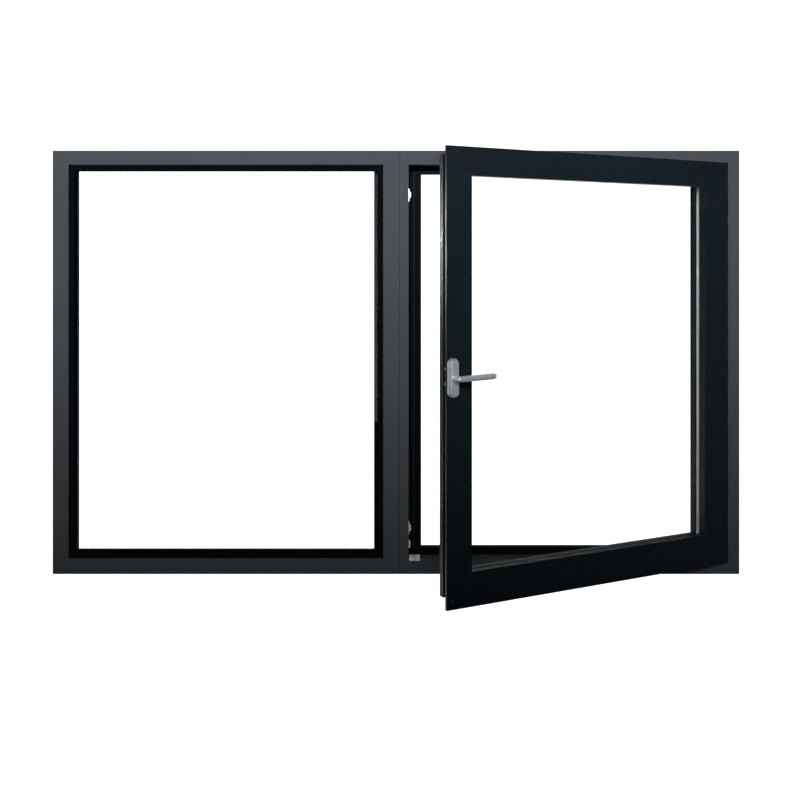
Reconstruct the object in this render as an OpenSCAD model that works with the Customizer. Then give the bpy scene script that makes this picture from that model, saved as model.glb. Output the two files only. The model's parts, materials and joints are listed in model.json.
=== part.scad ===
// Two-light aluminium window: a fixed light coupled to an inward-opening side-hung casement.
// X runs along the width, +Y points outdoors, +Z is up. The origin is the middle of the sill's underside.
// The sash is drawn closed and then turned by open_angle about its hinge axis.

/* [Window] */
// Overall width of the two coupled units
window_w = 2100; // [1900:10:2300]
// Overall height
window_h = 1295; // [1200:5:1400]
// Depth of the outer frames
frame_depth = 75; // [75:1:80]
// Where the two units meet, measured from the middle
coupling_x = 10; // [0:1:20]
// Angle at which the sash stands open
open_angle = 26; // [0:1:90]

/* [Outer frame] */
// Face width of the jambs and the sills
face_w = 48.5; // [46:0.5:52]
// Face width of the heads
head_face_w = 43; // [41:0.5:46]
// Face width of the slim jamb on the lock side
slim_face_w = 28.5; // [27:0.5:31]
// Height of the casement frame's outer leg past the face
leg_h = 20; // [18:1:22]
// Height of the fixed light's outer leg past the face
fixed_leg_h = 9; // [9:1:16]
// Height of that leg beside the coupling
coupling_leg_h = 29.5; // [24:0.5:32]
// Wall thickness of the aluminium shells
wall = 1.8; // [1.5:0.1:2.2]

/* [Sash] */
// Overlap of the sash on the jambs
lip_overlap = 8; // [7:0.5:9]
// Face width of the top rail and the lock stile
sash_face_w = 77; // [74:1:82]
// Face width of the bottom rail and the hinge stile
sash_wide_face_w = 93; // [88:1:98]
// Depth of the sash
sash_depth = 70; // [70:1:70]

/* [Glazing] */
// Thickness of one pane
pane_t = 4; // [3:0.5:5]
// Thickness of the sealed unit
unit_t = 24; // [22:1:24]
// Height of the glazing beads on the fixed light
fixed_bead_h = 18; // [17:1:22]

/* [Handle] */
// Reach of the lever from its axis to its tip
lever_reach = 110; // [95:1:125]
// Width of the lever across its root
lever_w = 15.5; // [15:0.5:18]

/* [Hidden] */
$fn = 48;

LEFT = 0;
BOTTOM = 1;
RIGHT = 2;
TOP = 3;
SIDES = [LEFT, BOTTOM, RIGHT, TOP];
FRAME_GREY = "#3B4046";
SASH_BLACK = "#20262A";
POLYAMIDE = "#161616";
RUBBER = "#101010";
ZINC = "#B9BCC0";
SATIN_SILVER = "#A9ADB2";
GLASS = [0.8, 0.9, 0.92, 0.3];

// Half of the hairline left at a mitre, along the bar
mitre_gap = 0.15;
coupling_seal_t = 1.2;

// Depth planes of the outer frames, from indoors (y_in) to outdoors (y_out)
y_in = -frame_depth / 2;
y_out = frame_depth / 2;
inner_shell_y = y_in + 30;
outer_shell_y = y_out - 13;
leg_gasket_t = 4;

// Depth of the sash's interior face, 12 mm proud of the frame
y_sash = y_in - 12;

// Rectangles are [left, bottom, right, top]
function rect_in(r, l, b, rt, t) = [r[0] + l, r[1] + b, r[2] - rt, r[3] - t];
function inset(r, d) = rect_in(r, d, d, d, d);
// A [low, high] pair moved by d
function moved(d, pair) = [d + pair[0], d + pair[1]];

fixed_outer = [-window_w / 2, 0, coupling_x - coupling_seal_t / 2, window_h];
fixed_sight = rect_in(fixed_outer, face_w, face_w, face_w, head_face_w);
fixed_leg = rect_in(fixed_sight, fixed_leg_h, fixed_leg_h, coupling_leg_h, fixed_leg_h);
casement_outer = [coupling_x + coupling_seal_t / 2, 0, window_w / 2, window_h];
casement_open = rect_in(casement_outer, slim_face_w - coupling_seal_t / 2, face_w, face_w, head_face_w);
lock_leg_h = face_w + leg_h - slim_face_w;
casement_leg = rect_in(casement_open, lock_leg_h, leg_h, leg_h, leg_h + 4);
lock_x = casement_open[0];
hinge_x = casement_open[2];

// The sash overlaps the sill by 10 mm and the head by 5 mm
sash_lip = [lock_x - lip_overlap, face_w - 10, hinge_x + lip_overlap, window_h - head_face_w + 5];
body_inset = 20;
groove_inset = 28;
bead_h = 24;
sash_body = inset(sash_lip, body_inset);
sash_groove = inset(sash_lip, groove_inset);
sash_shell = inset(sash_lip, 17.5);
sash_sight = rect_in(sash_lip, sash_face_w, sash_wide_face_w, sash_wide_face_w, sash_face_w);
sash_rebate = inset(sash_sight, -bead_h);
sash_mid_z = (sash_lip[1] + sash_lip[3]) / 2;

// Depths inside the sash, from its interior face
lip_t = 2;
nose_t = 8;
nose_w = 2.5;
groove_v = 16;
rear_v = 36;
sash_shell_v = sash_depth - 18;
// How far the outdoor profile stands back behind the edge of the bead
sash_leg_back = 7.5;
sash_bead_v = sash_shell_v - 3 - unit_t - 3;

// Hinge axis, under the lip
lip_to_axis = 4;
axis_x = sash_lip[2] - lip_to_axis;
axis_y = y_sash + 7;
knuckle_r = 4;
pin_r = 2.5;
running_gap = 0.05;
hinge_half = 50;
frame_knuckle = 30;
hinge_z = [sash_lip[1] + 160, sash_lip[3] - 160];
leaf_screw_dz = [-36, 0, 36];
sash_leaf_screw_dz = [-41, -28, 28, 41];
leaf_screw_y = y_in + 13;
sash_leaf_screw_y = y_sash + 9;

// Handle and drive, from the sash's lock-side lip edge
handle_u = 16;
handle_x = sash_lip[0] + handle_u;
rosette_r = 14.5;
rosette_half = 51.5;
rosette_t = 18;
rosette_skirt = 10;
cover_inset = 1.6;
cover_wall = 1.4;
gear_teeth = 16;
gear_r = gear_teeth / 2;
rack_v = [-16, -9];
drive_travel = gear_r * PI / 2;
finger_x = [sash_lip[0] + 12, sash_lip[0] + 17];
finger_z = [16, 24];
slot_clear = 0.5;
rod_x = [sash_lip[0] + 22, sash_lip[0] + 24.5];
rod_v = [19, 33];
rod_half_w = 7;
cam_v = 26;
keeper_z = [140, 1160];
keeper_reach = 7.2;
alignment_z = 90;
screw_hole_r = 2.15;
fix_hole_r = 4;
fix_z = [200, window_h / 2, window_h - 200];
fix_y = y_in + 15;
coupling_z = [300, 520, 780, 1000];

module slab(y0, y1) translate([0, y1, 0]) rotate([90, 0, 0]) linear_extrude(y1 - y0) children();
module plate(r) translate([r[0], r[1]]) square([r[2] - r[0], r[3] - r[1]]);
module block(x, y, z) translate([x[0], y[0], z[0]]) cube([x[1] - x[0], y[1] - y[0], z[1] - z[0]]);
module rod_along_x(x0, x1, r) translate([x0, 0, 0]) rotate([0, 90, 0]) cylinder(h = x1 - x0, r = r);
module rod_along_y(y0, y1, r) translate([0, y1, 0]) rotate([90, 0, 0]) cylinder(h = y1 - y0, r = r);

// Outline of one side between an outer and an inner rectangle, mitred from corner to corner
function side_outline(side, o, i) = let (g = mitre_gap) side == BOTTOM || side == TOP
    ? [[o[0] + g, o[side]], [o[2] - g, o[side]], [i[2] - g, i[side]], [i[0] + g, i[side]]]
    : [[o[side], o[1] + g], [o[side], o[3] - g], [i[side], i[3] - g], [i[side], i[1] + g]];
// The cavity of that side, run out past both mitres
function side_cavity(side, o, i) =
    side == BOTTOM ? [o[0] - 1, o[1] + wall, o[2] + 1, i[1] - wall] :
    side == TOP ? [o[0] - 1, i[3] + wall, o[2] + 1, o[3] - wall] :
    side == LEFT ? [o[0] + wall, o[1] - 1, i[0] - wall, o[3] + 1] :
    [i[2] + wall, o[1] - 1, o[2] - wall, o[3] + 1];
// The same side before it is mitred, as long as the outer rectangle
function side_run(side, o, i) =
    side == BOTTOM ? [o[0], o[1], o[2], i[1]] :
    side == TOP ? [o[0], i[3], o[2], o[3]] :
    side == LEFT ? [o[0], o[1], i[0], o[3]] :
    [i[2], o[1], o[2], o[3]];

module side_bar(side, o, i, y0, y1) slab(y0, y1) polygon(side_outline(side, o, i));
module side_tube(side, o, i, y0, y1) difference() {
    side_bar(side, o, i, y0, y1);
    slab(y0 + wall, y1 - wall) plate(side_cavity(side, o, i));
}
module run_bar(side, o, i, y0, y1) slab(y0, y1) plate(side_run(side, o, i));
module run_tube(side, o, i, y0, y1) difference() {
    run_bar(side, o, i, y0, y1);
    run_bar(side, inset(o, wall), inset(i, -wall), y0 + wall, y1 - wall);
}
module ring(o, i, y0, y1) slab(y0, y1) difference() {
    plate(o);
    plate(i);
}

// ---- outer frames ----
// Each side is an indoor tube and an outdoor tube with a raised leg, held apart by the thermal break
module frame_side(side, o, sight, leg) color(FRAME_GREY) {
    side_tube(side, o, sight, y_in, inner_shell_y);
    side_tube(side, o, leg, outer_shell_y, y_out);
}
module drain_slots(x_list) for (x = x_list)
    block([x - 15, x + 15], [y_out - wall - 1, y_out + 1], [22, 28]);
module fixed_head() frame_side(TOP, fixed_outer, fixed_sight, fixed_leg);
module fixed_sill() color(FRAME_GREY) difference() {
    frame_side(BOTTOM, fixed_outer, fixed_sight, fixed_leg);
    drain_slots(fixed_drains);
}
module fixed_left_jamb() color(FRAME_GREY) difference() {
    frame_side(LEFT, fixed_outer, fixed_sight, fixed_leg);
    for (z = fix_z) translate([0, fix_y, z])
        rod_along_x(fixed_outer[0] - 1, fixed_sight[0] + 1, fix_hole_r);
}
module fixed_right_jamb() color(FRAME_GREY) difference() {
    frame_side(RIGHT, fixed_outer, fixed_sight, fixed_leg);
    coupling_bores(screw_hole_r);
}
module casement_head() frame_side(TOP, casement_outer, casement_open, casement_leg);
module casement_sill() color(FRAME_GREY) difference() {
    frame_side(BOTTOM, casement_outer, casement_open, casement_leg);
    drain_slots(casement_drains);
}
module casement_lock_jamb() color(FRAME_GREY) difference() {
    frame_side(LEFT, casement_outer, casement_open, casement_leg);
    coupling_bores(screw_hole_r);
    keeper_bores(lock_x - 12, lock_x + 1);
}
module casement_hinge_jamb() color(FRAME_GREY) difference() {
    frame_side(RIGHT, casement_outer, casement_open, casement_leg);
    for (z = fix_z) translate([0, fix_y, z])
        rod_along_x(hinge_x - 1, casement_outer[2] + 1, fix_hole_r);
    for (z = hinge_z, dz = leaf_screw_dz) translate([0, leaf_screw_y, z + dz])
        rod_along_x(hinge_x - 1, hinge_x + 14, screw_hole_r);
}
fixed_drains = [-0.75 * window_w / 2, -0.25 * window_w / 2];
casement_drains = [0.25 * window_w / 2, 0.75 * window_w / 2];

// Polyamide strips, flush with the outside of the frame and with the floor of the rebate
strip_t = 2.5;
module strips(o, sight, y0, y1) for (side = SIDES) {
    side_bar(side, o, inset(o, strip_t), y0, y1);
    side_bar(side, inset(sight, -strip_t), sight, y0, y1);
}
module frame_thermal_breaks() color(POLYAMIDE) {
    strips(fixed_outer, fixed_sight, inner_shell_y, outer_shell_y);
    strips(casement_outer, casement_open, inner_shell_y, outer_shell_y);
}

// L-shaped cleats that hold the mitres from inside the indoor tubes
module cleat(corner, sx, sz, leg, t, y0, y1) slab(y0, y1)
    polygon([for (p = [[0, 0], [leg, 0], [leg, t], [t, t], [t, leg], [0, leg]])
        [corner[0] + sx * p[0], corner[1] + sz * p[1]]]);
module cleats(r, leg, t, y0, y1) {
    cleat([r[0], r[1]], 1, 1, leg, t, y0, y1);
    cleat([r[2], r[1]], -1, 1, leg, t, y0, y1);
    cleat([r[0], r[3]], 1, -1, leg, t, y0, y1);
    cleat([r[2], r[3]], -1, -1, leg, t, y0, y1);
}
cleat_gap = wall + 0.3;
module frame_corner_cleats() color("silver") for (o = [fixed_outer, casement_outer])
    cleats(inset(o, cleat_gap), 80, 22, y_in + cleat_gap, inner_shell_y - cleat_gap);

// ---- coupling ----
module coupling_seal() color("#5A5F63") difference() {
    block([fixed_outer[2], casement_outer[0]], [y_in + 0.4, y_out - 0.4], [0, window_h]);
    coupling_bores(2.5);
}
module coupling_bores(r) for (z = coupling_z) translate([0, fix_y, z])
    rod_along_x(fixed_outer[2] - 6, lock_x + 1, r);
module coupling_screws() color(ZINC) for (z = coupling_z) translate([0, fix_y, z]) {
    rod_along_x(fixed_outer[2] - 5, lock_x, screw_hole_r - 0.05);
    rod_along_x(lock_x, lock_x + 1.6, 4.5);
}

// ---- fixed light ----
fixed_glass_gap = 3;
fixed_glass = inset(fixed_sight, fixed_glass_gap);
fixed_glass_y = outer_shell_y - leg_gasket_t - unit_t;
module pane(r, y0) color(GLASS) slab(y0, y0 + pane_t) plate(r);
edge_seal_w = 3;
spacer_w = 7;
module spacer_bar(r, y0) color(ZINC)
    ring(inset(r, edge_seal_w), inset(r, edge_seal_w + spacer_w), y0 + pane_t, y0 + unit_t - pane_t);
module edge_seal(r, y0) color(RUBBER)
    ring(r, inset(r, edge_seal_w), y0 + pane_t, y0 + unit_t - pane_t);
module setting_blocks(r, y0, t) color(POLYAMIDE) for (s = [0.22, 0.78])
    translate([r[0] + s * (r[2] - r[0]), 0, 0])
        block([-50, 50], [y0, y0 + unit_t], [r[1] - t, r[1]]);

// Hollow beads: the rail beads run through and the side beads stand between them
bead_wall = 1.5;
module rail_beads(r, h, y0, y1) for (z = [[r[1], r[1] + h], [r[3] - h, r[3]]]) difference() {
    block([r[0], r[2]], [y0, y1], z);
    block([r[0] - 1, r[2] + 1], [y0 + bead_wall, y1 - bead_wall], [z[0] + bead_wall, z[1] - bead_wall]);
}
module side_beads(r, h, y0, y1) for (x = [[r[0], r[0] + h], [r[2] - h, r[2]]]) difference() {
    block(x, [y0, y1], [r[1] + h + 0.1, r[3] - h - 0.1]);
    block([x[0] + bead_wall, x[1] - bead_wall], [y0 + bead_wall, y1 - bead_wall], [r[1], r[3]]);
}
bead_set_back = 0.5;
bead_gasket_t = 4;
fixed_bead_y = [y_in + bead_set_back, fixed_glass_y - bead_gasket_t];
module fixed_rail_beads() color(SASH_BLACK)
    rail_beads(fixed_sight, fixed_bead_h, fixed_bead_y[0], fixed_bead_y[1]);
module fixed_side_beads() color(SASH_BLACK)
    side_beads(fixed_sight, fixed_bead_h, fixed_bead_y[0], fixed_bead_y[1]);
module fixed_pane_inner() pane(fixed_glass, fixed_glass_y);
module fixed_pane_outer() pane(fixed_glass, fixed_glass_y + unit_t - pane_t);
module fixed_spacer() spacer_bar(fixed_glass, fixed_glass_y);
module fixed_edge_seal() edge_seal(fixed_glass, fixed_glass_y);
module fixed_setting_blocks() setting_blocks(fixed_glass, fixed_glass_y, fixed_glass_gap);
module fixed_gasket_inner() color(RUBBER) ring(inset(fixed_sight, fixed_bead_h - 9),
    inset(fixed_sight, fixed_bead_h - 1), fixed_bead_y[1], fixed_glass_y);
module fixed_gasket_outer() color(RUBBER) ring(inset(fixed_sight, fixed_leg_h - 9),
    inset(fixed_sight, fixed_leg_h - 1), fixed_glass_y + unit_t, outer_shell_y);

// ---- casement frame fittings ----
// Seal on the inside of the leg that the closed sash comes up against
module stop_gasket() color(RUBBER) ring(inset(casement_open, 15), inset(casement_open, 19),
    y_sash + sash_depth + 0.3, outer_shell_y);

// Striker that the sliding cam enters endways: dir is +1 where the cam locks by moving up
keeper_y = [y_sash + 18, y_sash + 35];
keeper_screw_dz = [-14, 15];
module keeper(dir) color(ZINC) difference() {
    union() {
        block([lock_x, lock_x + 2], keeper_y, [-19, 19]);
        for (y = [cam_y - 6.5, cam_y + 4]) keeper_wall(dir, y);
    }
    for (dz = keeper_screw_dz) translate([0, cam_y, dir * dz])
        rod_along_x(lock_x - 1, lock_x + 3, screw_hole_r);
    translate([lock_x + 4.5, cam_y - 5, dir]) cube([3, 5, 9], center = true);
}
cam_y = y_sash + cam_v;
module keeper_wall(dir, y) translate([0, 0, dir]) slab(y, y + 2.5) difference() {
    union() {
        plate([lock_x, -9, lock_x + keeper_reach - 3, 9]);
        plate([lock_x, -6, lock_x + keeper_reach, 6]);
        for (z = [-6, 6]) translate([lock_x + keeper_reach - 3, z]) circle(3);
    }
}
module keeper_bores(x0, x1) {
    for (dz = keeper_screw_dz) {
        translate([0, cam_y, keeper_z[0] - dz]) rod_along_x(x0, x1, screw_hole_r);
        translate([0, cam_y, keeper_z[1] + dz]) rod_along_x(x0, x1, screw_hole_r);
    }
    translate([0, cam_y, alignment_z]) rod_along_x(x0, x1, screw_hole_r);
}
module keeper_upper() translate([0, 0, keeper_z[1]]) keeper(1);
module keeper_lower() translate([0, 0, keeper_z[0]]) keeper(-1);
// Low block on the lock jamb that centres the foot of the closing sash
module alignment_block() color(ZINC) difference() {
    block([lock_x, lock_x + 4.5], keeper_y, [alignment_z - 11, alignment_z + 11]);
    translate([0, cam_y, alignment_z]) rod_along_x(lock_x - 1, lock_x + 6, screw_hole_r);
}
// Two ramps on the sill that lift the free corner of the sash as it closes
module run_up_block() color(ZINC) for (x = [lock_x + 1.5, lock_x + 19])
    translate([x, 0, 0]) rotate([90, 0, 90]) linear_extrude(16)
        polygon([[y_in - 1.5, face_w - 7], [y_in - 1.5, face_w + 2], [y_in + 4, face_w + 5.5],
            [y_in + 22, face_w + 5.5], [y_in + 22, face_w], [y_in, face_w], [y_in, face_w - 7]]);
module frame_hardware_screws() color(ZINC) {
    for (z = hinge_z, dz = leaf_screw_dz) translate([0, leaf_screw_y, z + dz]) {
        rod_along_x(hinge_x - leaf_t + 1.4, hinge_x + 12, screw_hole_r - 0.05);
        rod_along_x(hinge_x - leaf_t, hinge_x - leaf_t + 1.4, 4.1);
    }
    for (dz = keeper_screw_dz) {
        translate([0, cam_y, keeper_z[0] - dz]) lock_side_screw();
        translate([0, cam_y, keeper_z[1] + dz]) lock_side_screw();
    }
    translate([2.5, cam_y, alignment_z]) lock_side_screw();
}
module lock_side_screw() {
    rod_along_x(lock_x - 8, lock_x + 2, screw_hole_r - 0.05);
    rod_along_x(lock_x + 2, lock_x + 3, 3);
}
// Hoods over the drain slots on the outside of the sills
module drain_caps() color(FRAME_GREY) for (x = concat(fixed_drains, casement_drains)) difference() {
    block([x - 20, x + 20], [y_out, y_out + 5], [18, 33]);
    block([x - 18, x + 18], [y_out - 1, y_out + 3.5], [17, 31]);
}

// ---- hinges ----
leaf_t = 3;
module at_hinges() for (z = hinge_z) translate([0, 0, z]) children();
module knuckle(z0, z1, bore_r) translate([axis_x, axis_y, z0]) difference() {
    cylinder(h = z1 - z0, r = knuckle_r);
    translate([0, 0, -1]) cylinder(h = z1 - z0 + 2, r = bore_r);
}
module hinge_frame_leaves() color(ZINC) at_hinges() difference() {
    union() {
        for (z = [[-hinge_half, -hinge_half + frame_knuckle], [hinge_half - frame_knuckle, hinge_half]]) {
            knuckle(z[0], z[1], pin_r + 0.02);
            block([hinge_x - leaf_t, axis_x - 2.7], [axis_y + 0.5, axis_y + 4.2], z);
            block([hinge_x - leaf_t, hinge_x], [axis_y + 0.5, y_in + 22], z);
        }
        block([hinge_x - leaf_t, hinge_x], [y_in + 1, y_in + 22], [-hinge_half, hinge_half]);
    }
    for (dz = leaf_screw_dz) translate([0, leaf_screw_y, dz]) {
        rod_along_x(hinge_x - leaf_t - 1, hinge_x + 1, screw_hole_r);
        rod_along_x(hinge_x - leaf_t - 1, hinge_x - leaf_t + 1.4, 4.2);
    }
}
sash_knuckle = hinge_half - frame_knuckle - 0.3;
module hinge_sash_leaves() in_sash() color(ZINC) at_hinges() difference() {
    union() {
        knuckle(-sash_knuckle, sash_knuckle, pin_r + running_gap);
        block([sash_body[2], axis_x - 2.5], [axis_y - 4, axis_y - 1], [-sash_knuckle, sash_knuckle]);
        block([sash_body[2], sash_body[2] + 2.5], [y_sash + lip_t + 0.5, y_sash + 15.5],
            [-hinge_half, hinge_half]);
    }
    for (dz = sash_leaf_screw_dz) translate([0, sash_leaf_screw_y, dz])
        rod_along_x(sash_body[2] - 1, sash_body[2] + 3.5, screw_hole_r);
}
module hinge_sash_screws() in_sash() color(ZINC) at_hinges() for (dz = sash_leaf_screw_dz)
    translate([0, sash_leaf_screw_y, dz]) {
        rod_along_x(sash_body[2] - 8, sash_body[2] + 2.5, screw_hole_r - 0.05);
        rod_along_x(sash_body[2] + 2.5, sash_body[2] + 3.8, 3.8);
    }
module hinge_pins() color(ZINC) at_hinges() translate([axis_x, axis_y, -hinge_half])
    cylinder(h = 2 * hinge_half, r = pin_r);

// ---- sash ----
module in_sash() translate([axis_x, axis_y, 0]) rotate([0, 0, open_angle])
    translate([-axis_x, -axis_y, 0]) children();
function v(d) = y_sash + d;

// One side: the indoor profile with its lip, nose, two chambers and groove flange is cut along one
// mitre, and the outdoor profile has its own
module sash_side(side) color(SASH_BLACK) {
    intersection() {
        union() {
            run_bar(side, sash_lip, inset(sash_body, 1), v(0), v(lip_t));
            run_bar(side, sash_lip, inset(sash_lip, nose_w), v(0), v(nose_t));
            run_tube(side, sash_body, sash_rebate, v(0), v(groove_v));
            run_tube(side, sash_groove, sash_rebate, v(groove_v - wall), v(rear_v));
            run_bar(side, sash_body, inset(sash_groove, 1), v(rear_v - wall), v(rear_v));
        }
        side_bar(side, sash_lip, sash_rebate, v(-1), v(rear_v + 1));
    }
    side_tube(side, sash_shell, inset(sash_sight, -sash_leg_back), v(sash_shell_v), v(sash_depth));
}
module sash_top_rail() in_sash() sash_side(TOP);
module sash_bottom_rail() in_sash() sash_side(BOTTOM);
module sash_lock_stile() in_sash() color(SASH_BLACK) difference() {
    sash_side(LEFT);
    finger_slots(v(-1), v(lip_t + 1));
    handle_screw_bores(v(-1), v(lip_t + 1));
    rod_along_y_at_handle(v(-1), v(lip_t + 1), 4.5);
}
module sash_hinge_stile() in_sash() color(SASH_BLACK) difference() {
    sash_side(RIGHT);
    at_hinges() {
        block([sash_body[2] + 4, sash_lip[2] + 1], [v(lip_t), v(nose_t + 2)],
            [-hinge_half - 2, hinge_half + 2]);
        for (dz = sash_leaf_screw_dz) translate([0, sash_leaf_screw_y, dz])
            rod_along_x(sash_body[2] - 9, sash_body[2] + 1, screw_hole_r);
    }
}
module sash_thermal_breaks() in_sash() color(POLYAMIDE) for (side = SIDES) {
    side_bar(side, sash_groove, inset(sash_groove, strip_t), v(rear_v), v(sash_shell_v));
    side_bar(side, inset(sash_rebate, -strip_t), sash_rebate, v(rear_v), v(sash_shell_v));
}
module sash_corner_cleats() in_sash() color("silver")
    cleats(inset(sash_body, cleat_gap), 80, 22, v(cleat_gap), v(groove_v - cleat_gap));

sash_glass_gap = 5;
sash_glass = inset(sash_rebate, sash_glass_gap);
sash_glass_y = v(sash_bead_v + 3);
sash_bead_y = [v(bead_set_back), v(sash_bead_v)];
module sash_rail_beads() in_sash() color(SASH_BLACK)
    rail_beads(sash_rebate, bead_h, sash_bead_y[0], sash_bead_y[1]);
module sash_side_beads() in_sash() color(SASH_BLACK)
    side_beads(sash_rebate, bead_h, sash_bead_y[0], sash_bead_y[1]);
module sash_pane_inner() in_sash() pane(sash_glass, sash_glass_y);
module sash_pane_outer() in_sash() pane(sash_glass, sash_glass_y + unit_t - pane_t);
module sash_spacer() in_sash() spacer_bar(sash_glass, sash_glass_y);
module sash_edge_seal() in_sash() edge_seal(sash_glass, sash_glass_y);
module sash_setting_blocks() in_sash() setting_blocks(sash_glass, sash_glass_y, sash_glass_gap);
module sash_gasket_inner() in_sash() color(RUBBER)
    ring(inset(sash_sight, -9), inset(sash_sight, -1), sash_bead_y[1], sash_glass_y);
module sash_gasket_outer() in_sash() color(RUBBER)
    ring(inset(sash_sight, -sash_leg_back - 8.5), inset(sash_sight, -sash_leg_back - 0.5),
        sash_glass_y + unit_t, v(sash_shell_v));
// Seal under the lip, left out at the hinges, beside the handle drive and over the run-up ramps
module overlap_gasket() in_sash() color(RUBBER) difference() {
    ring(inset(sash_lip, 4), inset(sash_lip, 8), v(lip_t), y_in - 0.3);
    at_hinges() block([sash_body[2], sash_lip[2]], [v(0), v(20)], [-hinge_half - 2, hinge_half + 2]);
    block([sash_lip[0], sash_body[0]], [v(0), v(20)], moved(sash_mid_z, [-31, 34]));
    block([lock_x - 1, lock_x + 38], [y_in - 2, y_in], [face_w - 8, face_w]);
}

// ---- handle and drive ----
module at_handle() translate([handle_x, 0, sash_mid_z]) children();
module rod_along_y_at_handle(y0, y1, r) at_handle() rod_along_y(y0, y1, r);
module pill(r, half) {
    translate([-r, -(half - r)]) square([2 * r, 2 * (half - r)]);
    for (s = [-1, 1]) translate([0, s * (half - r)]) circle(r);
}
// Slots that let the two drive fingers travel: the upper one up and the lower one down
module finger_slots(y0, y1) for (s = [0, 1]) translate([0, 0, sash_mid_z]) mirror([0, 0, s])
    block(finger_x + [-slot_clear, slot_clear], [y0, y1],
        [finger_z[0] - slot_clear, finger_z[1] + drive_travel + slot_clear]);
handle_screw_dz = 43;
module handle_screw_bores(y0, y1) at_handle() for (s = [-1, 1]) translate([0, 0, s * handle_screw_dz])
    rod_along_y(y0, y1, screw_hole_r);
module rosette(y0, y1, d) at_handle() slab(y0, y1) pill(rosette_r - d, rosette_half - d);
module handle_base() in_sash() color(SATIN_SILVER) difference() {
    rosette(v(-rosette_skirt), v(0), 0);
    rosette(v(-rosette_skirt - 1), v(-2), cover_inset - 0.05);
    finger_slots(v(-3), v(1));
    handle_screw_bores(v(-3), v(1));
    rod_along_y_at_handle(v(-3), v(1), journal_r + running_gap);
}
module handle_cover() in_sash() color(SATIN_SILVER) difference() {
    rosette(v(-rosette_t), v(-2), cover_inset);
    rosette(v(-rosette_t + 1.6), v(-1), cover_inset + cover_wall);
    rod_along_y_at_handle(v(-rosette_t - 1), v(0), neck_r + running_gap);
}
module handle_screws() in_sash() color(ZINC) at_handle() for (s = [-1, 1])
    translate([0, 0, s * handle_screw_dz]) {
        rod_along_y(v(-2), v(7), screw_hole_r - 0.05);
        rod_along_y(v(-4), v(-2), 4);
    }
// Two angle brackets under the lip that guide the fingers
module drive_guide() in_sash() color(ZINC) difference() {
    for (z = [[-28.5, -5], [5, 32]]) {
        block(moved(sash_lip[0], [3, body_inset - 0.1]), [v(lip_t), v(lip_t + 2)], moved(sash_mid_z, z));
        block(moved(sash_lip[0], [3, 8]), [v(lip_t), v(11.4)], moved(sash_mid_z, z));
    }
    finger_slots(v(0), v(12));
}
module rod_guides() in_sash() color(POLYAMIDE) for (z = [260, 470, 820, 1050]) difference() {
    block(moved(sash_lip[0], [20.6, groove_inset]), [v(groove_v), v(rear_v - wall)], [z - 8, z + 8]);
    block(rod_x + [-0.3, 0.3], [v(rod_v[0] - 0.3), v(rod_v[1] + 0.3)], [z - 9, z + 9]);
}

neck_r = 7;
journal_r = 4;
square_half = 3.5;
lever_v = [-48, -36];
lever_tip_r = 8.2;
// Angle of the lever above level while the sash is unlocked
lever_rise = 2;
// Bar with round ends r1 and r2 whose centres are d apart, closed by its two tangents
module tapered_bar(r1, r2, d) {
    a = asin((r1 - r2) / d);
    circle(r1);
    translate([d, 0]) circle(r2);
    polygon([[r1 * sin(a), -r1 * cos(a)], [d + r2 * sin(a), -r2 * cos(a)],
        [d + r2 * sin(a), r2 * cos(a)], [r1 * sin(a), r1 * cos(a)]]);
}
module handle_lever() in_sash() color(SATIN_SILVER) at_handle() difference() {
    union() {
        rod_along_y(v(lever_v[1] - 4), v(-rosette_t + 1.6), neck_r);
        slab(v(lever_v[0]), v(lever_v[1])) rotate(lever_rise)
            tapered_bar(lever_w / 2, lever_tip_r, lever_reach - lever_tip_r);
    }
    block([-square_half, square_half], [v(lever_v[1] - 2), v(0)], [-square_half, square_half]);
}

// Involute tooth flank, one point per step of the roll angle
pressure_angle = 20;
base_r = gear_r * cos(pressure_angle);
tip_r = gear_r + 0.95;
root_r = gear_r - 1.2;
backlash = 0.08;
function inv_deg(r) = let (a = acos(base_r / r)) tan(a) * 180 / PI - a;
half_tooth = 90 / gear_teeth - backlash * 90 / (PI * gear_r) + inv_deg(gear_r);
flank_r = [for (i = [0:5]) base_r + 0.001 + (tip_r - base_r - 0.001) * i / 5];
function polar(r, a) = [r * cos(a), r * sin(a)];
module pinion_outline() polygon([for (k = [0:gear_teeth - 1]) let (c = 360 * k / gear_teeth)
    each concat([polar(root_r, c - half_tooth)],
        [for (r = flank_r) polar(r, c - half_tooth + inv_deg(r))],
        [for (i = [5:-1:0]) polar(flank_r[i], c + half_tooth - inv_deg(flank_r[i]))],
        [polar(root_r, c + half_tooth)])]);
module handle_pinion() in_sash() color(ZINC) at_handle() {
    slab(v(rack_v[0]), v(rack_v[1])) rotate(pinion_phase) pinion_outline();
    rod_along_y(v(rack_v[1]), v(lip_t + 1), journal_r);
    block(0.05 * [1, -1] + [-square_half, square_half], [v(lever_v[1] - 1.5), v(rack_v[0])],
        0.05 * [1, -1] + [-square_half, square_half]);
}
// A tooth of the pinion points at each rack's gap when the handle is at rest
pinion_phase = 0;

// Rack teeth on the pitch line, pointing at +X, with a gap at mid-height
rack_tip = 0.8;
rack_root = 1.15;
module rack_teeth(k0, k1) for (k = [k0:k1]) translate([0, (k + 0.5) * PI]) let (t = tan(pressure_angle))
    polygon([[-rack_root - 0.5, -(PI / 4 + (rack_root + 0.5) * t)], [rack_tip, -(PI / 4 - rack_tip * t)],
        [rack_tip, PI / 4 - rack_tip * t], [-rack_root - 0.5, PI / 4 + (rack_root + 0.5) * t]]);
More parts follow.
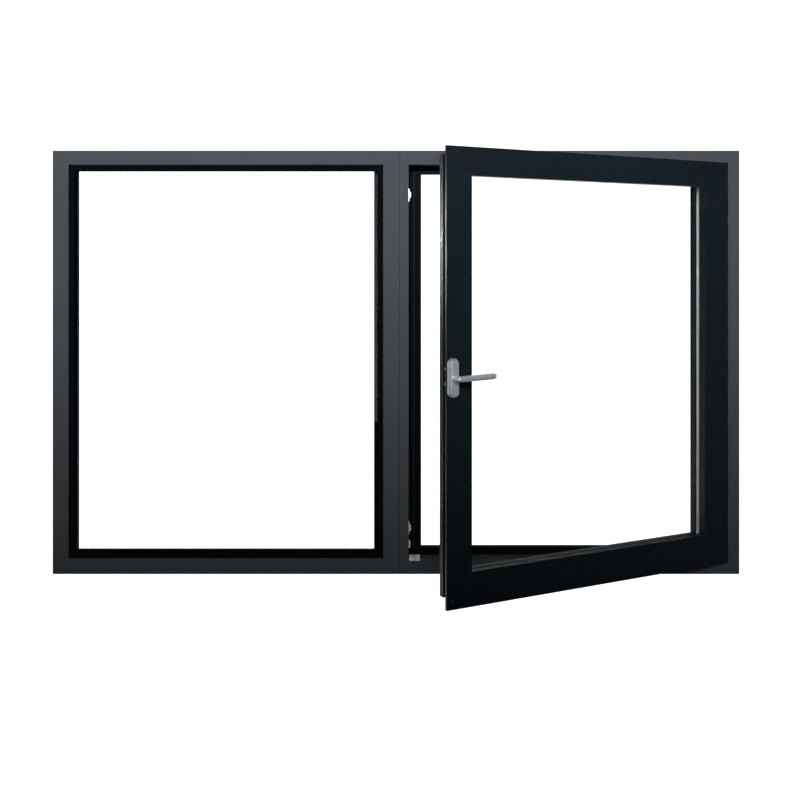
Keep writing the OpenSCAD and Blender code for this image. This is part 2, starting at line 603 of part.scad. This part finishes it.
// The rack, its foot across to the finger, the finger through the sash and the hook to the rod
module rack(side, teeth) translate([handle_x, 0, sash_mid_z]) {
    slab(v(rack_v[0]), v(rack_v[1])) scale([side, 1]) {
        translate([-gear_r, 0]) rack_teeth(teeth[0], teeth[1]);
        translate([-rack_back, teeth[0] * PI]) square([rack_back - gear_r - rack_root, 12 - teeth[0] * PI]);
    }
}
rack_back = gear_r + rack_root + 2;
module drive_finger() translate([0, 0, sash_mid_z]) {
    block(finger_x, [v(rack_v[0]), v(rod_v[1] - 1)], finger_z);
    block([finger_x[0], rod_x[0]], [v(22), v(30)], finger_z);
}
foot_z = [12, 26];
module upper_rack() in_sash() color(ZINC) {
    rack(1, [-7, 3]);
    block([handle_x - rack_back, finger_x[1]], [v(rack_v[0]), v(rack_v[1])], moved(sash_mid_z, foot_z));
    drive_finger();
}
module lower_rack() in_sash() color(ZINC) translate([0, 0, 2 * sash_mid_z]) mirror([0, 0, 1]) {
    rack(-1, [-7, 3]);
    block([finger_x[0], handle_x + rack_back], [v(rack_v[0]), v(rack_v[1])], moved(sash_mid_z, foot_z));
    drive_finger();
}
// Flat rod in the groove with its locking cam
module drive_rod(z0, z1, cam_z) {
    block(rod_x, [v(cam_v - rod_half_w), v(cam_v + rod_half_w)], [z0, z1]);
    translate([0, v(cam_v), cam_z]) {
        rod_along_x(lock_x + 4.5, rod_x[0] + 1, 3.4);
        rod_along_x(lock_x + 9.3, lock_x + 11, 5.5);
    }
}
module upper_rod() in_sash() color(ZINC)
    drive_rod(sash_mid_z + 10, keeper_z[1] + 28, keeper_z[1] - drive_travel);
module lower_rod() in_sash() color(ZINC)
    drive_rod(keeper_z[0] - 28, sash_mid_z - 10, keeper_z[0] + drive_travel);

fixed_head();
fixed_sill();
fixed_left_jamb();
fixed_right_jamb();
casement_head();
casement_sill();
casement_lock_jamb();
casement_hinge_jamb();
frame_thermal_breaks();
frame_corner_cleats();
coupling_seal();
coupling_screws();
fixed_rail_beads();
fixed_side_beads();
fixed_pane_inner();
fixed_pane_outer();
fixed_spacer();
fixed_edge_seal();
fixed_gasket_inner();
fixed_gasket_outer();
fixed_setting_blocks();
stop_gasket();
keeper_upper();
keeper_lower();
alignment_block();
run_up_block();
hinge_frame_leaves();
hinge_pins();
frame_hardware_screws();
drain_caps();
sash_top_rail();
sash_bottom_rail();
sash_lock_stile();
sash_hinge_stile();
sash_thermal_breaks();
sash_corner_cleats();
sash_rail_beads();
sash_side_beads();
sash_pane_inner();
sash_pane_outer();
sash_spacer();
sash_edge_seal();
sash_gasket_inner();
sash_gasket_outer();
overlap_gasket();
sash_setting_blocks();
hinge_sash_leaves();
hinge_sash_screws();
rod_guides();
drive_guide();
handle_base();
handle_cover();
handle_screws();
handle_lever();
handle_pinion();
upper_rack();
upper_rod();
lower_rack();
lower_rod();
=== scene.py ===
"""Looks for the two-light casement window: materials, edge rounding, finer handle, stage, camera.

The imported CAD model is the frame. Lengths are in metres, X along the width, +Y outdoors, +Z up.
"""

import json
import math

import bmesh
import bpy
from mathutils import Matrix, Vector


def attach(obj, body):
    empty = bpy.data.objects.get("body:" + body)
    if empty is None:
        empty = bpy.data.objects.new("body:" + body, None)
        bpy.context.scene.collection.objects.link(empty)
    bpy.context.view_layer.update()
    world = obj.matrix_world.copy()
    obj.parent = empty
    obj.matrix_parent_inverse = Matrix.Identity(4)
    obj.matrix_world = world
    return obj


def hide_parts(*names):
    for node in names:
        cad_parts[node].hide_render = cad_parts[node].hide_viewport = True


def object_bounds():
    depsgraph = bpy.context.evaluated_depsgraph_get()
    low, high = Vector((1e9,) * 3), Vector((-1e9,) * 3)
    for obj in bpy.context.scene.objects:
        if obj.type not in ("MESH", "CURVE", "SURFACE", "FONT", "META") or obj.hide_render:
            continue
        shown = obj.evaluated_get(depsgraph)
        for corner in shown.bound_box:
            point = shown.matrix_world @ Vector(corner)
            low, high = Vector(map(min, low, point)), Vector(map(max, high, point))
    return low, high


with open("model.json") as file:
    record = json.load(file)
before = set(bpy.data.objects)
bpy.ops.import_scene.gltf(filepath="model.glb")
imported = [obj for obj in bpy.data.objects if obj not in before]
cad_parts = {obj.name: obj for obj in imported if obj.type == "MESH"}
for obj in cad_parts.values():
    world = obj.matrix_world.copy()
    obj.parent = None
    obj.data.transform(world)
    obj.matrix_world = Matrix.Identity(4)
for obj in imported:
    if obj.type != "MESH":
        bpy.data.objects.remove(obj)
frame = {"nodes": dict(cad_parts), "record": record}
nodes = frame["nodes"]
cad_low, cad_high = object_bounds()

MM = 0.001


# ---- materials ----

class Shader:
    """A node tree with one Principled surface, built by short calls."""

    def __init__(self, name):
        self.material = bpy.data.materials.new(name)
        self.material.use_nodes = True
        self.tree = self.material.node_tree
        self.surface = self.tree.nodes["Principled BSDF"]
        coordinates = self.tree.nodes.new("ShaderNodeTexCoord")
        self.place = coordinates.outputs["Object"]

    def node(self, kind, inputs=(), **settings):
        made = self.tree.nodes.new(kind)
        for key, value in settings.items():
            setattr(made, key, value)
        for key, value in dict(inputs).items():
            if isinstance(value, bpy.types.NodeSocket):
                self.tree.links.new(value, made.inputs[key])
            else:
                made.inputs[key].default_value = value
        return made

    def set(self, **values):
        for key, value in values.items():
            self.surface.inputs[key.replace("_", " ")].default_value = value

    def link(self, key, socket):
        self.tree.links.new(socket, self.surface.inputs[key])

    def noise(self, scale, detail=2.0, stretch=(1, 1, 1)):
        mapped = self.node("ShaderNodeMapping", {"Vector": self.place, "Scale": stretch})
        made = self.node("ShaderNodeTexNoise",
                         {"Vector": mapped.outputs[0], "Scale": scale, "Detail": detail})
        return made.outputs["Fac"]

    def ramp(self, fac, low, high, start=0.3, end=0.7):
        """low and high are grey levels or colours, reached at start and end."""
        made = self.node("ShaderNodeValToRGB", {"Fac": fac})
        for stop, place, value in zip(made.color_ramp.elements, (start, end), (low, high)):
            stop.position = place
            stop.color = (*value, 1) if isinstance(value, tuple) else (value, value, value, 1)
        return made.outputs["Color"]

    def bump(self, height, strength, distance):
        made = self.node("ShaderNodeBump",
                         {"Height": height, "Strength": strength, "Distance": distance})
        self.link("Normal", made.outputs["Normal"])


def shade(colour, amount):
    return tuple(c * amount for c in colour)


# Painted shade: the frame's rebate surfaces are coloured near-black to stand for the shade in the
# recesses
REBATE_PAINTED_SHADE = (0.0012, 0.0024, 0.0032)
FRAME_HALF_DEPTH = 37.5 * MM
EDGE_MARGIN, FACE_MARGIN = 10 * MM, 1 * MM


def rebate_shade_mask(s):
    """1 on the surfaces between the frame's two faces and inside its outer edges, 0 elsewhere: where
    the rebates get painted shade, near-black.
    """
    axes = s.node("ShaderNodeSeparateXYZ", {"Vector": s.place}).outputs
    half_width, half_height = (cad_high.x - cad_low.x) / 2, (cad_high.z - cad_low.z) / 2
    box = (("X", cad_low.x + half_width, half_width - EDGE_MARGIN),
           ("Y", 0, FRAME_HALF_DEPTH - FACE_MARGIN),
           ("Z", cad_low.z + half_height, half_height - EDGE_MARGIN))
    inside = 1.0
    for axis, middle, half in box:
        shifted = s.node("ShaderNodeMath", {0: axes[axis], 1: middle}, operation="SUBTRACT")
        distance = s.node("ShaderNodeMath", {0: shifted.outputs[0]}, operation="ABSOLUTE")
        near = s.node("ShaderNodeMath", {0: distance.outputs[0], 1: half}, operation="LESS_THAN")
        inside = s.node("ShaderNodeMath", {0: near.outputs[0], 1: inside},
                        operation="MULTIPLY").outputs[0]
    return inside


def powder_coat(name, colour, rough, grain=900, bump_mm=0.05, gloss=0.4, paint_rebate_shade=False):
    """Cured powder paint: orange-peel bump with a slow drift in colour and gloss, and optionally
    painted shade, near-black, on the rebate surfaces.
    """
    s = Shader(name)
    paint = s.ramp(s.noise(3.5, 4), shade(colour, 0.94), shade(colour, 1.06))
    # Painted shade: near-black paint inside the rebates in place of their shade
    if paint_rebate_shade:
        mix = s.node("ShaderNodeMix", {"Factor": rebate_shade_mask(s)}, data_type="RGBA")
        s.tree.links.new(paint, mix.inputs["A"])
        mix.inputs["B"].default_value = (*REBATE_PAINTED_SHADE, 1)
        paint = mix.outputs["Result"]
    s.link("Base Color", paint)
    s.link("Roughness", s.ramp(s.noise(40, 3), rough - 0.05, rough + 0.05))
    s.set(Specular_IOR_Level=gloss)
    s.bump(s.noise(grain, 3), 0.35, bump_mm * MM)
    return s.material


def plastic(name, colour, rough):
    s = Shader(name)
    s.link("Base Color", s.ramp(s.noise(60, 3), shade(colour, 0.85), shade(colour, 1.15)))
    s.set(Roughness=rough, Specular_IOR_Level=0.1)
    s.bump(s.noise(1500, 2), 0.2, 0.05 * MM)
    return s.material


def rubber(name, colour):
    s = Shader(name)
    s.link("Base Color", s.ramp(s.noise(90, 4), shade(colour, 0.8), shade(colour, 1.2)))
    s.link("Roughness", s.ramp(s.noise(25, 2), 0.6, 0.75))
    s.set(Specular_IOR_Level=0.1)
    s.bump(s.noise(2200, 2), 0.25, 0.04 * MM)
    return s.material


def metal(name, colour, rough, brush=(1, 1, 30), streak=0.08, metallic=1.0):
    """Plated or satin metal with fine streaks, which run along the axis of the lowest brush scale."""
    s = Shader(name)
    streaks = s.noise(120, 3, brush)
    s.link("Base Color", s.ramp(s.noise(35, 3), shade(colour, 0.93), shade(colour, 1.05)))
    s.link("Roughness", s.ramp(streaks, rough - streak, rough + streak))
    s.set(Metallic=metallic)
    s.bump(streaks, 0.08, 0.03 * MM)
    return s.material


def spacer(name, colour):
    """Pale, dull spacer bar between the two panes."""
    s = Shader(name)
    s.link("Base Color", s.ramp(s.noise(35, 3), shade(colour, 0.93), shade(colour, 1.05)))
    s.set(Roughness=0.6, Specular_IOR_Level=0.05)
    return s.material


def clear_glass(name):
    """Thin clear glass: straight-through with a Fresnel reflection, faintly green."""
    s = Shader(name)
    fresnel = s.node("ShaderNodeFresnel", {"IOR": 1.45})
    back = s.node("ShaderNodeNewGeometry")
    front = s.node("ShaderNodeMath", {0: 1.0, 1: back.outputs["Backfacing"]}, operation="SUBTRACT")
    weight = s.node("ShaderNodeMath", {0: fresnel.outputs[0], 1: front.outputs[0]},
                    operation="MULTIPLY")
    through = s.node("ShaderNodeBsdfTransparent", {"Color": (0.985, 0.995, 0.99, 1)})
    gloss = s.node("ShaderNodeBsdfGlossy", {"Color": (1, 1, 1, 1), "Roughness": 0.01})
    mix = s.node("ShaderNodeMixShader",
                 {0: weight.outputs[0], 1: through.outputs[0], 2: gloss.outputs[0]})
    s.tree.links.new(mix.outputs[0], s.tree.nodes["Material Output"].inputs["Surface"])
    return s.material


FRAME_COLOUR = (0.047, 0.054, 0.061)
SASH_COLOUR = (0.0061, 0.0101, 0.0132)
PALE_METAL = (0.6, 0.61, 0.62)
BLACK_POLYMER = (0.005, 0.006, 0.0065)

MATERIALS = {
    "frame_paint": powder_coat("frame_paint", FRAME_COLOUR, 0.6, gloss=0.03, paint_rebate_shade=True),
    "sash_paint": powder_coat("sash_paint", SASH_COLOUR, 0.36, gloss=0.11),
    "bead_paint": powder_coat("bead_paint", SASH_COLOUR, 0.36, gloss=0.11),
    "polyamide": plastic("polyamide", BLACK_POLYMER, 0.55),
    "seal_rubber": rubber("seal_rubber", BLACK_POLYMER),
    "edge_sealant": rubber("edge_sealant", (0.005, 0.005, 0.005)),
    "spacer_metal": spacer("spacer_metal", PALE_METAL),
    "cleat_metal": metal("cleat_metal", PALE_METAL, 0.45, (1, 30, 1)),
    "clear_glass": clear_glass("clear_glass"),
    "hardware_metal": metal("hardware_metal", (0.72, 0.73, 0.74), 0.4, (30, 30, 1), metallic=0.4),
    "pin_steel": metal("pin_steel", (0.62, 0.62, 0.64), 0.25, (30, 30, 1)),
    "screw_steel": metal("screw_steel", (0.6, 0.6, 0.62), 0.3, (10, 10, 10)),
    "handle_silver": metal("handle_silver", (0.58, 0.605, 0.645), 0.38, (4, 4, 30), metallic=0.6),
}
# Darker than their slots: the fixed beads painted near-black as painted shade of their recess, a
# black warm-edge spacer and black coupling screws
DARKER = {
    "fixed_rail_beads": powder_coat("fixed_bead_painted_shade", (0.0025, 0.0035, 0.0042), 0.7, gloss=0.0),
    "fixed_spacer": plastic("warm_edge_black", (0.004, 0.0045, 0.005), 0.6),
}
DARKER["fixed_side_beads"] = DARKER["fixed_rail_beads"]
DARKER["coupling_screws"] = DARKER["fixed_spacer"]

slot_of = {s["node"]: s["material_slot"] for s in frame["record"]["subparts"]}
for name, piece in nodes.items():
    piece.data.materials.clear()
    piece.data.materials.append(DARKER.get(name, MATERIALS[slot_of[name]]))


# ---- rounded edges ----

EDGE_MM = {
    "frame_paint": 0.6, "sash_paint": 0.5, "handle_silver": 0.8,
    "seal_rubber": 0.4, "polyamide": 0.3, "clear_glass": 0.3,
    "hardware_metal": 0.35, "screw_steel": 0.3, "spacer_metal": 0.3,
}
SHARP_ANGLE = 40


def round_edges(piece, width_mm, segments=2):
    bevel = piece.modifiers.new("edges", "BEVEL")
    bevel.limit_method = "ANGLE"
    bevel.angle_limit = math.radians(SHARP_ANGLE)
    bevel.width = width_mm * MM
    bevel.segments = segments
    bevel.use_clamp_overlap = True


for name, piece in nodes.items():
    if slot_of[name] in EDGE_MM:
        round_edges(piece, EDGE_MM[slot_of[name]])


# ---- finer handle: rounded rosette cover and moulded lever ----

turn = next(j for j in frame["record"]["behaviour"]["joints"] if j["name"] == "handle_turn")
OUTWARD = Vector(turn["axis"])
ALONG = Vector((OUTWARD.y, -OUTWARD.x, 0))
# The sash's indoor face lies this far (mm) outdoors of the joint's own point
AXIS_DEPTH = 12


def sash_point(along, out, up):
    """A point in the sash's own axes, in mm from the rosette's middle on the sash's indoor face."""
    offset = ALONG * along + OUTWARD * (out + AXIS_DEPTH) + Vector((0, 0, up))
    return Vector(turn["pos_m"]) + offset * MM


def loft(bm, rings):
    """Skins closed rings of equal length and caps both ends."""
    made = [[bm.verts.new(sash_point(*p)) for p in ring] for ring in rings]
    count = len(rings[0])
    for a, b in zip(made, made[1:]):
        for i in range(count):
            bm.faces.new((a[i], a[(i + 1) % count], b[(i + 1) % count], b[i]))
    bm.faces.new(made[0][::-1])
    bm.faces.new(made[-1])


def finer_piece(name, lofts, node, body):
    bm = bmesh.new()
    for rings in lofts:
        loft(bm, rings)
    bmesh.ops.recalc_face_normals(bm, faces=bm.faces)
    mesh = bpy.data.meshes.new(name)
    bm.to_mesh(mesh)
    bm.free()
    mesh.shade_smooth()
    mesh.materials.append(MATERIALS["handle_silver"])
    piece = bpy.data.objects.new(name, mesh)
    bpy.context.collection.objects.link(piece)
    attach(piece, body)
    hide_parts(node)


def pill_ring(r, half, out, steps=20):
    """Upright stadium outline at one depth."""
    ring = []
    for end, start in ((1, 0), (-1, 180)):
        for i in range(steps + 1):
            a = math.radians(start + 180 * i / steps)
            ring.append((r * math.cos(a), out, end * (half - r) + r * math.sin(a)))
    return ring


# All in mm. Depths are negative indoors of the sash's face.
COVER_R, COVER_HALF, COVER_DRAFT, COVER_EDGE = 12.9, 49.9, 1.2, 2.2
COVER_BACK, COVER_FRONT = -2, -18
COVER_INSET = 1.5
EDGE_STEPS = 8


def cover_rings():
    """Sides that lean in by the draft, a rounded edge and a flat front."""
    rings = [pill_ring(COVER_R, COVER_HALF, COVER_BACK)]
    for i in range(EDGE_STEPS + 1):
        a = math.radians(90 * i / EDGE_STEPS)
        pull = COVER_DRAFT + COVER_EDGE * (1 - math.cos(a))
        out = COVER_FRONT + COVER_EDGE * (1 - math.sin(a))
        rings.append(pill_ring(COVER_R - pull, COVER_HALF - pull, out))
    pull += COVER_INSET
    rings.append(pill_ring(COVER_R - pull, COVER_HALF - pull, COVER_FRONT))
    return rings


LEVER_MID, LEVER_HALF_T = -42, 6
ROOT_R, TIP_R, REACH, RISE = 7.75, 8.2, 110, 2.0
NECK_R, NECK_DEPTHS = 7, (-16.4, -19, -34, -40)
# The end rings stop short of a quarter turn, so that the last one keeps some width
END_SWEEP = 88
END_STEPS, SPAN_STEPS = 10, 20
# Powers below 1 square off the oval section and keep the ends thick
SQUARENESS, END_FULLNESS = 0.8, 0.6


def lever_rings(steps=32):
    """Oval sections along the lever, rounded off at both ends."""
    tip = REACH - TIP_R
    rings = []
    for i in range(-END_STEPS, SPAN_STEPS + END_STEPS + 1):
        if i < 0:
            a = math.radians(END_SWEEP * i / -END_STEPS)
            d, r, end = -ROOT_R * math.sin(a), ROOT_R, math.cos(a)
        elif i <= SPAN_STEPS:
            d, end = tip * i / SPAN_STEPS, 1
            r = ROOT_R + (TIP_R - ROOT_R) * i / SPAN_STEPS
        else:
            a = math.radians(END_SWEEP * (i - SPAN_STEPS) / END_STEPS)
            d, r, end = tip + TIP_R * math.sin(a), TIP_R, math.cos(a)
        half_t = LEVER_HALF_T * end ** END_FULLNESS
        rings.append([oval(d, r * end, half_t, 2 * math.pi * k / steps) for k in range(steps)])
    return rings


def oval(d, half_z, half_t, a):
    """One point of a squarish oval section at distance d along the risen lever."""
    z = half_z * math.copysign(abs(math.sin(a)) ** SQUARENESS, math.sin(a))
    out = LEVER_MID + half_t * math.copysign(abs(math.cos(a)) ** SQUARENESS, math.cos(a))
    rise = math.radians(RISE)
    return (d * math.cos(rise) - z * math.sin(rise), out, d * math.sin(rise) + z * math.cos(rise))


def neck_rings(steps=32):
    """Round neck from inside the cover to inside the lever."""
    turns = [2 * math.pi * k / steps for k in range(steps)]
    return [[(NECK_R * math.cos(a), out, NECK_R * math.sin(a)) for a in turns]
            for out in NECK_DEPTHS]


finer_piece("rosette_cover", [cover_rings()], "handle_cover", "sash")
finer_piece("lever_grip", [lever_rings(), neck_rings()], "handle_lever", "handle")


# ---- stage, lights and camera ----

WHITE = 1.4
CARD_SIZE = 40
UPRIGHT = (math.pi / 2, 0, 0)
FLOOR_Z = -0.9
BACKDROP_Y, BACKDROP_FOOT_Z, FOOT_CARD_Z = 9, 0.9, 5
BEHIND_Y = 0.3
# Keeps cards that overlap out of one plane
CARD_GAP = 0.005


def white_card(name, location, rotation=(0, 0, 0), reflected=False):
    """A white sheet that casts no light and that glossy surfaces mirror only if it is reflected."""
    bpy.ops.mesh.primitive_plane_add(size=CARD_SIZE, location=location, rotation=rotation)
    card = bpy.context.object
    card.name = name
    material = bpy.data.materials.new(name)
    material.use_nodes = True
    tree = material.node_tree
    glow = tree.nodes.new("ShaderNodeEmission")
    glow.inputs["Strength"].default_value = WHITE
    tree.links.new(glow.outputs[0], tree.nodes["Material Output"].inputs["Surface"])
    card.data.materials.append(material)
    card.visible_diffuse = False
    card.visible_glossy = reflected
    card.visible_shadow = False


white_card("floor", (0, 0, FLOOR_Z))
white_card("backdrop", (0, BACKDROP_Y, BACKDROP_FOOT_Z + CARD_SIZE / 2), UPRIGHT)
white_card("backdrop_foot", (0, BACKDROP_Y + 2 * CARD_GAP, FOOT_CARD_Z), UPRIGHT)
white_card("floor_behind", (0, BEHIND_Y + CARD_SIZE / 2, FLOOR_Z - CARD_GAP), reflected=True)


def area_light(name, location, aim, width, height, watts, spread=180):
    """A rectangular lamp that points at aim and that the camera can't see."""
    data = bpy.data.lights.new(name, "AREA")
    data.shape = "RECTANGLE"
    data.size = width
    data.size_y = height
    data.energy = watts
    data.spread = math.radians(spread)
    lamp = bpy.data.objects.new(name, data)
    bpy.context.collection.objects.link(lamp)
    lamp.location = location
    lamp.rotation_euler = (Vector(aim) - Vector(location)).to_track_quat("-Z", "Y").to_euler()
    lamp.visible_camera = False


area_light("key", (-0.3, -4.0, 2.2), (-0.1, 0, 1.3), 4.0, 0.6, 31, spread=42)
area_light("fill", (0.5, -4.5, 1.2), (0, 0, 0.6), 5, 3, 27)
area_light("side", (2.4, -3.4, 2.4), (0.7, -0.2, 0.9), 2.0, 1.2, 5)
area_light("edge", (-2.75, 1.58, 1.1), (0.1, -0.45, 1.02), 0.35, 0.35, 0.18, spread=9)
area_light("rear", (1.5, 4.0, 3.4), (0, 0, 0.6), 4, 1.5, 80)

world = bpy.data.worlds.new("studio")
bpy.context.scene.world = world
world.use_nodes = True
background = world.node_tree.nodes["Background"]
background.inputs["Color"].default_value = (1, 1, 1, 1)
background.inputs["Strength"].default_value = WHITE
world.cycles_visibility.diffuse = False
world.cycles_visibility.glossy = False

# A level camera, shifted down so that the window's uprights stay upright in the picture
CAMERA_AT = (0, -3.0525, 0.933)
LENS_MM, SENSOR_MM = 44.37, 36
SHIFT_X, SHIFT_Y = 0.005, -0.16375

camera_data = bpy.data.cameras.new("camera")
camera_data.lens = LENS_MM
camera_data.sensor_width = SENSOR_MM
camera_data.shift_x = SHIFT_X
camera_data.shift_y = SHIFT_Y
camera = bpy.data.objects.new("camera", camera_data)
bpy.context.collection.objects.link(camera)
camera.location = CAMERA_AT
camera.rotation_euler = UPRIGHT
bpy.context.scene.camera = camera
bpy.context.scene.view_settings.view_transform = "Standard"
